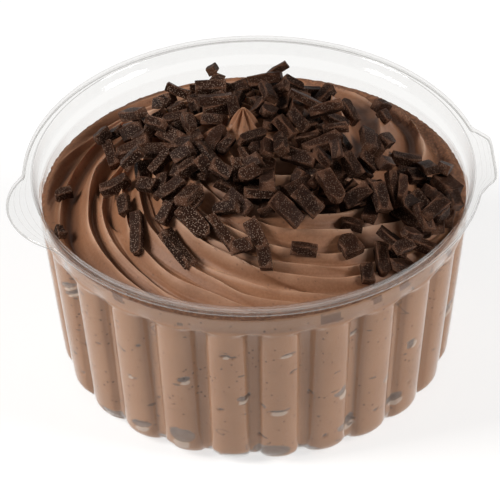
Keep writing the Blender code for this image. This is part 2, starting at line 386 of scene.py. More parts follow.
def square_tab_reach(angle):
    turn = (angle - SQUARE_TAB_ANGLE + math.pi) % math.tau - math.pi
    across = np.abs(np.sin(turn)) * SQUARE_TAB_REACH / (SQUARE_TAB_WIDTH / 2)
    rounded = SQUARE_TAB_REACH * (1 - 0.012 * across ** 6)
    near = (np.abs(turn) < 0.5) & (across < 1.35)
    side = mix(rounded, RIM_RADIUS, smooth(0.95, 1.35, across))
    return np.where(near, side / np.cos(turn), 0.0)


rim_reach = np.maximum(RIM_RADIUS, np.maximum(round_tab_reach(cup_angles), square_tab_reach(cup_angles)))
for blur in range(2):
    rim_reach = (np.roll(rim_reach, 1) + 2 * rim_reach + np.roll(rim_reach, -1)) / 4
rim_reach = np.maximum(rim_reach, RIM_RADIUS) - RIM_SPARE
rim_drop = mix(SKIRT_DEPTH, TAB_SKIRT, smooth(0.2 * MM, 0.8 * MM, rim_reach + RIM_SPARE - RIM_RADIUS))
print("rim reaches", round(rim_reach.max() / MM, 1), "mm from the axis")

# %% [markdown]
# ## The clear cup
#
# The real cup is formed from one thin sheet, so both of its faces are modelled, 0.45 mm
# apart, and every bend is rounded. The profile runs up the outside, round the turned-down
# skirt, over the flange, down the lid seat and the inside to the middle of the floor.
#
# Where the sheet bends tightly, light is bent away and a thin grey line shows. Each ring
# therefore carries a number, `bend`, that the material reads. It is 1 at such a bend, and
# -1 on the lid seat, which lies in the shade of the flange and mirrors nothing.

# %% Profile of the sheet
BEAD = 0.40 * MM
FLANGE_LINES = (0.72, 0.52, 0.30)
SHADE_TOP = RIM - 2.7 * MM


def fluted_rings(heights, inset):
    return [(wall_radius(z, cup_phases, inset), z, 0.0) for z in heights]


def rim_rings(inset, low, bend):
    """A ring on the edge of flange and tabs; low is the share of the skirt that it hangs down."""
    return [(rim_reach - inset, RIM - low * rim_drop, bend)]


def foot_heights(inset, steps=6):
    """Heights round the quarter circle at the foot, from the floor up."""
    fillet = FOOT_FILLET - inset
    return [inset + fillet * (1 - math.cos(math.pi / 2 * k / steps)) for k in range(steps + 1)]


def seat_bead():
    """The snap bead of the lid seat: inner radius and height where the sheet bulges inwards."""
    made = []
    for k in range(9):
        z = RIM - 4.0 * MM + k * 0.27 * MM
        slope = mix(SEAT_RADIUS, FLANGE_INNER, (z - SEAT_HEIGHT) / (RIM - SEAT_HEIGHT))
        made.append((slope - SHEET - BEAD * math.sin(math.pi * k / 8) ** 2, z))
    return made


def cup_profile():
    walls = np.linspace(FOOT_FILLET, FLUTE_HEIGHT, 5)[1:]
    closing = np.linspace(FLUTE_HEIGHT, SHOULDER_HEIGHT, 7)[1:]
    body = [*walls, *closing]
    base = wall_radius(0.0, cup_phases, 0.0)
    seat_out, seat_in = SEAT_RADIUS, SEAT_RADIUS - SHEET
    corner = 0.35 * MM
    under = RIM - SHEET

    rings = [(base * share, 0.0, 0.0) for share in (0.2, 0.6, 0.9)]
    rings += fluted_rings(foot_heights(0.0) + body, 0.0)
    rings += [(SHOULDER_RADIUS + 0.01 * MM, SEAT_HEIGHT - 1.1 * MM, 0.0),
              (SHOULDER_RADIUS + 0.02 * MM, SEAT_HEIGHT - 0.9 * MM, -1.0),
              (seat_out, SEAT_HEIGHT, -1.0),
              (seat_out + 0.05 * MM, SEAT_HEIGHT + 0.5 * MM, -1.0),
              *[(radius + SHEET, z, -1.0 if z < SHADE_TOP else 0.0) for radius, z in seat_bead()],
              (FLANGE_INNER, under - corner, 0.0),
              (FLANGE_INNER + 0.12 * MM, under - 0.1 * MM, 1.0),
              (FLANGE_INNER + corner, under, 0.4)]
    rings += [(mix(FLANGE_INNER, rim_reach, share), under, 0.0) for share in (0.4, 0.7)]
    rings += [(rim_reach - SHEET - 0.3 * MM, under, 0.0),
              (rim_reach - SHEET - 0.08 * MM, under - 0.1 * MM, 0.8),
              (rim_reach - SHEET - 0.04 * MM, under - 0.3 * MM, 0.3)]
    rings += rim_rings(SHEET + SKIRT_TAPER, 0.96, 0.0)
    rings += rim_rings(SHEET * 0.8 + SKIRT_TAPER, 1.0, 1.0)
    rings += rim_rings(SKIRT_TAPER, 1.0, 1.0)
    rings += rim_rings(SKIRT_TAPER - 0.05 * MM, 0.93, 0.0)
    rings += [(rim_reach, RIM - 0.45 * MM, 0.0),
              (rim_reach - 0.12 * MM, RIM - 0.12 * MM, 1.0),
              (rim_reach - 0.45 * MM, RIM, 0.2)]
    for share in FLANGE_LINES:
        rings += [(mix(FLANGE_INNER, rim_reach, share + step), RIM, line) for step, line in
                  ((0.05, 0.0), (0.0, 0.9), (-0.05, 0.0))]
    rings += [(FLANGE_INNER + 0.1 * MM, RIM, 0.4),
              (FLANGE_INNER - 0.22 * MM, RIM - 0.12 * MM, 1.0),
              (FLANGE_INNER - 0.38 * MM, RIM - 0.5 * MM, 0.0),
              *[(radius, z, -1.0 if z < SHADE_TOP else 0.0) for radius, z in reversed(seat_bead())],
              (seat_in + 0.05 * MM, SEAT_HEIGHT + 0.5 * MM, -1.0),
              (seat_in, SEAT_HEIGHT, -1.0),
              (SHOULDER_RADIUS - SHEET + 0.02 * MM, SEAT_HEIGHT - 0.9 * MM, -1.0),
              (SHOULDER_RADIUS - SHEET + 0.01 * MM, SEAT_HEIGHT - 1.1 * MM, 0.0)]
    rings += fluted_rings([*reversed(body)] + [*reversed(foot_heights(SHEET))], SHEET)
    rings += [((base - SHEET) * share, SHEET, 0.0) for share in (0.9, 0.6, 0.2)]
    return rings


profile = cup_profile()
print("cup profile:", len(profile), "rings of", COLUMNS, "points")

# %% [markdown]
# Clear plastic this thin hardly bends what is behind it, so the material lets light pass
# straight on. It mirrors more the more it is seen edge on: the Layer Weight node gives that,
# and Schlick's formula turns it into the share that a real surface mirrors. A little haze
# and the grey of the bends are a plain dull finish mixed in.

# %% Clear plastic
FACE_ON_MIRROR = 0.025


def clear_plastic():
    material, wire, dull = start_material("clear_plastic", (0.42, 0.41, 0.40), 0.25)
    edge_on = wire.node("ShaderNodeLayerWeight", {}, {"Blend": 0.5}, "Facing")
    bend = wire.read("bend")
    open_to_light = bend.between(-1.0, -0.2)
    mirrored = (edge_on ** 5 * (1 - FACE_ON_MIRROR) + FACE_ON_MIRROR) * open_to_light
    passing = wire.node("ShaderNodeBsdfTransparent", {}, {"Color": rgb(0.950, 0.950, 0.947)})
    gloss = wire.node("ShaderNodeBsdfGlossy", {}, {"Color": rgb(1, 1, 1), "Roughness": 0.07})
    clear = wire.node("ShaderNodeMixShader", {}, {0: mirrored, 1: passing, 2: gloss})

    place = wire.place()
    scuffs = wire.clouds(place, 420.0, 3.0)
    haze = (scuffs.between(0.45, 0.8) * 0.015 + 0.006) * open_to_light
    dullness = haze + bend.between(0.70, 0.95) * 0.45
    shown = wire.node("ShaderNodeMixShader", {}, {0: dullness, 1: clear, 2: Wire(wire.tree, dull.outputs[0])})
    out = material.node_tree.nodes["Material Output"]
    wire.tree.links.new(shown.socket, out.inputs["Surface"])
    return material


plastic = clear_plastic()


def make_cup():
    rings = [turn_to_points(radius, cup_angles, height) for radius, height, bend in profile]
    cup = ringed_skin("clear_cup", rings, ((0, 0, 0), (0, 0, SHEET)), plastic)
    mark(cup, "bend", [bend for radius, height, bend in profile for k in range(COLUMNS)] + [0.0, 0.0])
    cup.data.set_sharp_from_angle(angle=math.radians(50))
    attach(cup, "root")
    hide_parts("cup")
    return cup


cup = make_cup()
print("clear_cup:", len(cup.data.polygons), "quads")

# %% [markdown]
# ## The swirl
#
# The mousse was piped in one go through a star nozzle, so its ridges run from the tip out to
# the wall and all turn the same way. Each ridge is given by its angle on a circle of 34 mm
# and by how fast it turns inside and outside that circle. Crests and creases are both sharp,
# as a power just over one gives. Each crease lies closer to its outer ridge than to the inner
# one, so the ridges lean inwards like petals.
#
# The angles and sweeps in RIDGES follow no rule. They were set by hand to lines that a
# separate program had measured, so they are data and not a design.

# %% Sizes of the mousse
WALL_LEVEL = RIM - 6.6 * MM
LEVEL_TO_BACK = -1.5 * MM
LEVEL_TO_RIGHT = 0.6 * MM
EDGE_DROOP = 0.5 * MM
MOUND_TOP = RIM + 11.0 * MM
MOUND_RADIUS = 46.0 * MM
MOUND_FULLNESS = 0.77
BULGE_PLACE = (20.0 * MM, 22.0 * MM)
BULGE_RISE = 1.8 * MM
BULGE_WIDTH = 10.0 * MM
FOLD_CENTRE = (11.0 * MM, 1.2 * MM)
FOLD_RADIUS = 10.6 * MM
FOLD_RISE = 2.0 * MM
FOLD_FALL = (9.0 * MM, 3.2 * MM)
TIP_PLACE = (-2.0 * MM, 1.2 * MM)
TIP_RADIUS = 3.6 * MM
TIP_RIBS = 7
TIP_RIB_DEPTH = 0.9 * MM

RIDGES = ((-13, 6.5, 5.6, 0.0), (35, 4.5, 3.2, 0.0), (80, 4.3, 4.5, 0.0), (110, 4.0, 5.0, 1.0),
          (140, 1.0, 5.6, 0.0), (176, 3.0, 6.4, 0.0), (197, 3.4, 6.5, 2.2), (221, 5.0, 5.0, 0.0),
          (240, 4.5, 4.5, 0.2), (256, 5.5, 5.0, 2.4), (267, 5.0, 4.8, 0.0), (279, 5.0, 5.6, 0.9),
          (294, 5.0, 4.8, 0.0), (319, 5.3, 4.5, 0.0))
RIDGE_RADIUS = 34.0 * MM
RIDGE_DEPTH = 0.52
GROOVE_LEAN = 0.75
CREASE = 1.3
CREST_WIDTH = 0.5 * MM
CREST_LIP = 0.28 * MM
GROOVE_WIDEST = 6.5 * MM
SPREAD_RADIUS = 25.0 * MM
SPREAD_SWEEP = 5.0


def wall_level(angle):
    return WALL_LEVEL + LEVEL_TO_BACK * np.sin(angle) + LEVEL_TO_RIGHT * np.cos(angle)


def ridge_angles(radius):
    """Angles of the ridges on a circle, in radians, with the first one repeated at the end."""
    out = (max(radius, SPREAD_RADIUS) - RIDGE_RADIUS) / MM
    angles = np.array([start + out * (inner if out < 0 else outer) for start, inner, outer, drop in RIDGES])
    if radius < SPREAD_RADIUS:
        even = angles[0] + np.arange(len(RIDGES)) * 360 / len(RIDGES)
        angles = mix(angles, even, 1 - radius / SPREAD_RADIUS)
        angles = angles + SPREAD_SWEEP * (radius - SPREAD_RADIUS) / MM
    angles = np.radians(angles)
    return np.append(angles, angles[0] + math.tau)


def ridge_sweeps(radius):
    """How far each ridge turns for a metre outwards, in radians."""
    sweeps = [inner if radius < RIDGE_RADIUS else outer for start, inner, outer, drop in RIDGES]
    return np.radians(sweeps) / MM


def groove_width(place, radius):
    """Distance across the groove from ridge to ridge, square to them."""
    angles = ridge_angles(radius)
    ridge = place.astype(int) % len(RIDGES)
    slant = np.hypot(1, radius * ridge_sweeps(radius)[ridge])
    return radius * (angles[ridge + 1] - angles[ridge]) / slant


def crest_share(place, radius):
    """1 on the line of a ridge, a third of that half a millimetre away, and 0 farther out."""
    away = np.abs(place - np.rint(place)) * groove_width(place, radius)
    fade = smooth(8 * MM, 13 * MM, radius) * (1 - smooth(42 * MM, 45 * MM, radius))
    return fade * np.exp(-(away / CREST_WIDTH) ** 2)


def groove(place, radius):
    """How far the surface lies under the crests: the drop from ridge to ridge, and the hollow."""
    ridge = place.astype(int) % len(RIDGES)
    width = groove_width(place, radius)
    fade = smooth(4 * MM, 9 * MM, radius) * (1 - smooth(42 * MM, 45.5 * MM, radius))
    drops = np.array([drop for start, inner, outer, drop in (*RIDGES, RIDGES[0])]) * MM
    ramp = mix(drops[ridge], drops[ridge + 1], place - place.astype(int))
    hollow = 1 - np.abs(2 * (place - place.astype(int)) ** GROOVE_LEAN - 1) ** CREASE
    return fade * ramp, fade * RIDGE_DEPTH * np.minimum(width, GROOVE_WIDEST) * hollow


def ring_centre(radius):
    share = max(1 - radius / MOUND_RADIUS, 0.0)
    return TIP_PLACE[0] * share, TIP_PLACE[1] * share


def last_fold(x, y):
    """The end of the piped rope lies in an arc right of the tip: gentle inside, steep outside."""
    x, y = x - FOLD_CENTRE[0], y - FOLD_CENTRE[1]
    off = np.hypot(x, y) - FOLD_RADIUS
    rise = np.exp(-(off / np.where(off < 0, FOLD_FALL[0], FOLD_FALL[1])) ** 2)
    turn = np.degrees(np.arctan2(y, x))
    return FOLD_RISE * rise * smooth(-75, -35, turn) * (1 - smooth(75, 120, turn))


def crest_height(radius, angle):
    share = min(radius / MOUND_RADIUS, 1.0)
    dome = (1 - share * share) ** (1 / MOUND_FULLNESS)
    x, y = ring_centre(radius)
    x, y = x + radius * np.cos(angle), y + radius * np.sin(angle)
    away = np.hypot(x - BULGE_PLACE[0], y - BULGE_PLACE[1])
    bulge = BULGE_RISE * np.exp(-(away / BULGE_WIDTH) ** 2)
    return mix(wall_level(angle), MOUND_TOP, dome) + bulge + last_fold(x, y)


def swirl_angle(place, radius):
    angles = ridge_angles(radius)
    ridge = place.astype(int) % len(RIDGES)
    return mix(angles[ridge], angles[ridge + 1], place - place.astype(int))


print("swirl of", len(RIDGES), "ridges,", round((TIP_TOP - RIM) / MM, 1), "mm over the rim")

# %% [markdown]
# ## The skin of the mousse
#
# The side of the mousse must follow the flutes and its top must follow the ridges, and the
# two have different columns. So the side and the top are two stacks of rings, and one
# zipped row of triangles joins them. Behind the clear wall the mousse reaches half way
# into the sheet: no air shows there, except in pockets where it never touched the wall.

# %% Air pockets at the wall
# Angle round the cup in degrees, height, half width and half height in mm, tilt in degrees,
# and how much of the pocket's upper side is bitten away, which makes a crescent.
POCKETS = ((-111, 24, 1.5, 0.8, 25, 0.0), (-94, 20, 1.5, 0.9, 0, 0.3), (-84, 17, 2.8, 1.0, 5, 0.8),
           (-66, 19, 1.8, 1.6, 30, 0.6), (-63, 8, 2.6, 1.7, 25, 0.5), (-113, 7, 3.0, 2.2, -5, 0.2),
           (-86, 4, 4.2, 2.0, 5, 0.1), (-127, 6, 2.6, 1.0, 10, 0.2), (-45, 8, 2.4, 1.2, 35, 0.4),
           (-50, 17, 1.3, 0.9, 40, 0.5), (-98, 33, 2.2, 0.25, -12, 0.0), (-82, 33, 2.3, 0.25, 4, 0.0),
           (-128, 20, 1.9, 0.35, -20, 0.6), (-41, 23, 1.5, 0.9, 60, 0.2), (-62, 33, 2.0, 0.35, 25, 0.4),
           (-97, 1.7, 4.2, 1.5, 0, 0.0), (-104, 2.0, 1.8, 1.1, 0, 0.0), (-89, 1.6, 2.0, 1.0, 0, 0.0),
           (-76, 1.8, 3.6, 1.2, 8, 0.0), (-119, 2.2, 3.0, 1.2, -10, 0.2), (-140, 3.0, 3.0, 1.6, -10, 0.2))
SCATTERED_POCKETS = 46
SPECK_DENTS = 90


def scattered_pockets(count, seed):
    """Pockets for the sides that face away."""
    draw = random.Random(seed)
    made = []
    for k in range(count):
        made.append((draw.uniform(-20, 215), draw.uniform(3, 34), draw.uniform(0.8, 2.8),
                     draw.uniform(0.3, 1.5), draw.uniform(-35, 35), draw.uniform(0.0, 0.8)))
    return made


def small_dents(count, seed):
    draw = random.Random(seed)
    return [(draw.uniform(-180, 180), draw.uniform(4, 37), draw.uniform(0.35, 0.8),
             draw.uniform(0.25, 0.45), draw.uniform(-30, 30), draw.uniform(0.0, 0.6)) for k in range(count)]


def pocket_depth(points, angles, pockets):
    """How far inside a pocket each point of the side lies, and inside the crescent of painted highlight below
    it.
    """
    around = angles[None, :]
    heights = points[:, :, 2]
    radii = np.hypot(points[:, :, 0], points[:, :, 1])
    deepest = np.full(heights.shape, -0.5)
    painted_glint = np.zeros(heights.shape)
    for degrees, height, half_width, half_height, tilt, bite in pockets:
        turn = (around - math.radians(degrees) + math.pi) % math.tau - math.pi
        u, v = turn * radii / MM, heights / MM - height
        near = (np.abs(u) < 2 * half_width) & (np.abs(v) < 2 * half_width + half_height)
        if not near.any():
            continue
        lean = math.radians(tilt)
        along = u * math.cos(lean) + v * math.sin(lean)
        across = v * math.cos(lean) - u * math.sin(lean)
        body = 1 - np.hypot(along / half_width, across / half_height)
        bitten = np.hypot(along / half_width, across / half_height - 1.2) - 1.9 * bite
        inside = np.minimum(body, bitten) if bite > 0 else body
        deepest = np.maximum(deepest, np.where(near, inside, -0.5))
        # A crescent of painted highlight under the larger pockets, where light catches their lower edge.
        glint_width, glint_height = 0.75 * half_width, 0.75 * half_height
        glint = 1 - np.hypot(along / glint_width, (across + 1.25 * half_height) / glint_height)
        painted_glint = np.maximum(painted_glint, np.where(near & (half_width > 1.2), glint, 0.0))
    return deepest, painted_glint


all_pockets = [*POCKETS, *scattered_pockets(SCATTERED_POCKETS, 5), *small_dents(SPECK_DENTS, 6)]
print(len(all_pockets), "air pockets and dents")

# %% [markdown]
# The side of the mousse lies against the plastic. It follows the flutes halfway into the sheet,
# with the pockets sunk into it. Behind the plain band it stands clear of the plastic, and flat
# pieces of chocolate show there as darker patches. It ends above the band in a rough lip.

# %% Side of the mousse
CONTACT = SHEET / 2
STAND_OFF = SHEET + 0.35 * MM
POCKET_DEPTH = 0.8 * MM
LIP_RISE = 2.3 * MM
LIP_ROUGH = 0.35 * MM

# Each pressed piece is its angle in degrees, then height, half width and half height in mm.
PRESSED_PIECES = ((-69.8, 41.6, 2.6, 1.3), (-55.5, 42.0, 1.4, 1.2), (-46.0, 42.2, 1.7, 1.1),
                  (-25.0, 40.6, 1.2, 1.0), (-130.0, 42.2, 1.6, 1.1), (62.0, 41.8, 1.8, 1.2))


def noise_rows(points, scale, seed):
    """Smooth noise from -1 to 1 at every point of an array of rings."""
    shift = Vector((seed, 1.7 * seed, -seed))
    flat = [noise.noise(Vector(p) * scale + shift) for p in points.reshape(-1, 3)]
    return np.array(flat).reshape(points.shape[:-1])


def pressed_patches(rows, angles):
    """Where flat pieces of chocolate lie against the wall: 1 on a piece, 0 beside it."""
    inside = np.zeros(rows.shape[:2])
    for degrees, height, half_width, half_height in PRESSED_PIECES:
        turn = (angles - math.radians(degrees) + math.pi) % math.tau - math.pi
        along = np.abs(turn * SHOULDER_RADIUS / MM + (rows[:, :, 2] / MM - height) * 0.3) - half_width
        upward = np.abs(rows[:, :, 2] / MM - height) - half_height
        inside = np.maximum(inside, 1 - smooth(-0.15, 0.25, np.maximum(along, upward)))
    return inside


def wall_ring(z, inset):
    """A ring of the mousse behind the plain band, set in from the wall's outer face."""
    return turn_to_points(wall_radius(np.minimum(z, SEAT_HEIGHT), cup_phases, inset), cup_angles, z)


def side_rings():
    base = wall_radius(0.0, cup_phases, CONTACT)
    rows = [turn_to_points(base * share, cup_angles, CONTACT) for share in (0.3, 0.7)]
    heights = foot_heights(CONTACT) + list(np.linspace(FOOT_FILLET, SHOULDER_HEIGHT - 0.4 * MM, 76)[1:])
    rows += [turn_to_points(wall_radius(z, cup_phases, CONTACT), cup_angles, z) for z in heights]
    rows = np.array(rows)
    depth, glint = pocket_depth(rows, cup_angles, all_pockets)
    inward = smooth(0.0, 0.45, depth) * POCKET_DEPTH
    radii = np.hypot(rows[:, :, 0], rows[:, :, 1])
    rows[:, :, :2] *= (1 - inward / radii)[:, :, None]
    band_start, band_end = SHOULDER_HEIGHT - 0.4 * MM, wall_level(cup_angles) - 0.5 * MM
    upper = []
    for share in (0.1, 0.2, 0.5, 0.85, 1.0):
        off = mix(CONTACT, STAND_OFF, smooth(0.0, 0.2, share))
        z = mix(band_start, band_end, share)
        upper.append(wall_ring(z, off))
    front = smooth(-0.2, 0.7, -np.sin(cup_angles))
    lip_end = wall_level(cup_angles) - EDGE_DROOP + LIP_RISE * front
    for share in (0.1, 0.3, 0.5, 0.7, 0.9, 1.0):
        z = mix(band_end, lip_end, share)
        upper.append(wall_ring(z, SHEET))
    upper = np.array(upper)
    rough = np.array([0.0, 0.1, 0.2, 0.3, 0.2, 0.5, 0.8, 0.8, 0.8, 0.8, 0.9])[:, None] * MM
    wave = 0.6 * noise_rows(upper, 260.0, 3.0) + 0.6 * noise_rows(upper, 1300.0, 8.0)
    upper[:, :, :2] *= (1 - np.abs(wave) * rough / np.hypot(upper[:, :, 0], upper[:, :, 1]))[:, :, None]
    upper[5:, :, 2] += noise_rows(upper[5:], 450.0, 9.0) * LIP_ROUGH * np.linspace(0.3, 1.0, 6)[:, None]
    pocket = np.concatenate([depth, np.full(upper.shape[:2], -0.5)])
    # The deep mark paints shade into the grooves of the top; here on the side it marks the flat chocolate
    # pieces pressed against the wall, which are truly dark.
    marks = {"pocket": pocket, "crumble": np.zeros(pocket.shape), "pressed": np.ones(pocket.shape),
             "glint": np.concatenate([glint, np.zeros(upper.shape[:2])]), "crest_highlight": np.zeros(pocket.shape),
             "deep": 1.2 * pressed_patches(np.concatenate([rows, upper]), cup_angles)}
    marks["crumble"][len(rows) + 5:] = 1.0
    marks["pressed"][len(rows) + 5:] = 0.0
    return np.concatenate([rows, upper]), marks


side, side_marks = side_rings()
print("side:", side.shape[0], "rings")

# %% [markdown]
# Fine marks bring the top to life: the nozzle leaves faint streaks along each groove, the
# crests waver, and the whipped mass is a little lumpy. Where the first layer shows at the
# wall it is coarse and crumbly.

# %% Top of the mousse
COLUMNS_PER_DEGREE = 1.5
TOP_RADII = np.concatenate([np.arange(45.4, 39.9, -0.32), np.arange(39.8, 8.1, -0.52),
                            np.arange(8.0, 0.3, -0.42)]) * MM
STREAK = 0.03 * MM
LUMP = 0.30 * MM
CRUMBLE = 0.16 * MM
# DEEPEST is the groove depth at which the painted shade in the grooves is full.
DEEPEST = 3.2 * MM


def column_places():
    """Places of the columns: more of them where two ridges stand far apart."""
    starts = [start for start, inner, outer, drop in RIDGES] + [RIDGES[0][0] + 360]
    made = []
    for k in range(len(RIDGES)):
        count = round((starts[k + 1] - starts[k]) * COLUMNS_PER_DEGREE)
        made.append(k + np.arange(count) / count)
    return np.concatenate(made)


def top_ring(radius, places):
    """One ring of the swirl with its groove, its streaks and the star tip."""
    sway = 0.05 * np.sin(radius / MM * 0.55 + places * 4.1) + 0.03 * np.sin(radius / MM * 1.3 + places * 9.7)
    angle = swirl_angle(places, radius) + sway * smooth(8 * MM, 20 * MM, radius) * 0.5
    inside = max(1 - radius / TIP_RADIUS, 0.0)
    tip = (TIP_TOP - MOUND_TOP) * inside ** 1.1
    rib = 4 * inside * (1 - inside) * TIP_RIB_DEPTH * np.sin(TIP_RIBS * angle)
    drop, hollow = groove(places, radius)
    depth = drop + hollow
    streaks = np.sin(places * 43.0 + 2 * np.sin(radius / MM * 0.21)) + np.sin(places * 23.0 + 1.0)
    height = crest_height(radius, angle) - depth * (1 + 0.10 * np.sin(places * 5.0)) + tip + rib
    height = height + STREAK * streaks * np.minimum(depth / (1.5 * MM), 1.0)
    height = height + CREST_LIP * crest_share(places, radius)
    return turn_to_points(radius, angle, height, ring_centre(radius)), hollow


def top_rings():
    places = column_places()
    radii = TOP_RADII
    rings = [top_ring(radius, places) for radius in radii]
    rows = np.array([points for points, hollow in rings])
    # How deep each point lies in its groove: the material paints shade there, as shade falls in the deepest
    # creases.
    deep = np.clip(np.array([hollow for points, hollow in rings]) / DEEPEST, 0.0, 1.0)
    fade = smooth(2 * MM, 12 * MM, radii)[:, None]
    lumps = 0.7 * noise_rows(rows, 110.0, 1.0) + 0.4 * noise_rows(rows, 330.0, 2.0)
    crumbs = noise_rows(rows, 600.0, 4.0) + 0.8 * noise_rows(rows, 1200.0, 5.0)
    angle = np.arctan2(rows[:, :, 1], rows[:, :, 0])
    back_right = smooth(-0.45, 0.1, angle) * (1 - smooth(1.0, 1.6, angle))
    start = mix(44.0 * MM, 40.5 * MM, back_right)
    crumble = smooth(0.0, 1.6 * MM, radii[:, None] - start)
    rows[:, :, 2] += lumps * LUMP * fade + crumbs * CRUMBLE * crumble
    # Where the crest lines run: the material paints a highlight there, as light catches the ridges.
    crest_highlight = np.array([crest_share(places, radius) for radius in radii])
    right_part = mix(0.25, 1.0, smooth(-44 * MM, -24 * MM, rows[:, :, 0]))
    marks = {"crumble": crumble * right_part, "crest_highlight": crest_highlight, "deep": deep, "pocket": 0 * deep - 0.5,
             "pressed": 0 * deep, "glint": 0 * deep}
    return rows, marks


top, top_marks = top_rings()
print("top:", top.shape[0], "rings of", top.shape[1], "points")

# %% [markdown]
# The edges of the side and of the top have different numbers of points. A zip of triangles
# joins them: it walks round both, and each step goes on along the edge that is behind.

# %% Join side and top
def zipped(low_angles, high_angles, low_start, high_start):
    """Triangles between two rings that have different numbers of points, by their angles."""
    low = np.unwrap(low_angles)
    high = np.unwrap(high_angles)
    high = high + math.tau * round((low[0] - high[0]) / math.tau)
    begin = int(np.argmin(np.abs((high - low[0] + math.pi) % math.tau - math.pi)))
    high = np.append(high[begin:], high[:begin] + math.tau)
    order = [(begin + k) % len(high) for k in range(len(high))]
    high = high + math.tau * round((low[0] - high[0]) / math.tau)
    faces, i, j = [], 0, 0
    while i < len(low) or j < len(high):
        next_low = low[i + 1] if i + 1 < len(low) else low[0] + math.tau + (i + 1 - len(low))
        next_high = high[j + 1] if j + 1 < len(high) else high[0] + math.tau + (j + 1 - len(high))
        a = low_start + i % len(low)
        b = high_start + order[j % len(high)]
        if j >= len(high) or (i < len(low) and next_low <= next_high):
            faces.append((a, low_start + (i + 1) % len(low), b))
            i += 1
        else:
            faces.append((a, high_start + order[(j + 1) % len(high)], b))
            j += 1
    return faces


def make_mousse(material):
    side_rows, side_columns = side.shape[:2]
    top_rows, top_columns = top.shape[:2]
    top_start = side_rows * side_columns
    points = list(side.reshape(-1, 3)) + list(top.reshape(-1, 3))
    floor_point, tip_point = len(points), len(points) + 1
    points += [(0, 0, CONTACT), (*TIP_PLACE, TIP_TOP - 0.1 * MM)]
    faces = band_faces(side_rows, side_columns) + band_faces(top_rows, top_columns, top_start)
    for j in range(side_columns):
        faces.append(((j + 1) % side_columns, j, floor_point))
    last = top_start + (top_rows - 1) * top_columns
    for j in range(top_columns):
        faces.append((last + j, last + (j + 1) % top_columns, tip_point))
    edge = np.arctan2(top[0, :, 1], top[0, :, 0])
    side_edge = np.arctan2(side[-1, :, 1], side[-1, :, 0])
    faces += zipped(side_edge, edge, (side_rows - 1) * side_columns, top_start)
    piece = add_piece("mousse_swirl", points, faces, material)
    for name, values in side_marks.items():
        mark(piece, name, [*values.ravel(), *top_marks[name].ravel(), 0, 0])
    return piece


print("the zip joins edges of", side.shape[1], "and", top.shape[1], "points")

# %% [markdown]
# Whipped mousse is matt and full of fine pores, with dark specks of cocoa. Where it is pressed
# against the plastic it is paler and smeared. Painted shade darkens the deepest part of its
# grooves and a painted highlight lightens its crests. In the air pockets a painted grey stands
# for the plastic's inner face mirroring light over the gap, with a painted highlight in a
# crescent under the larger ones.

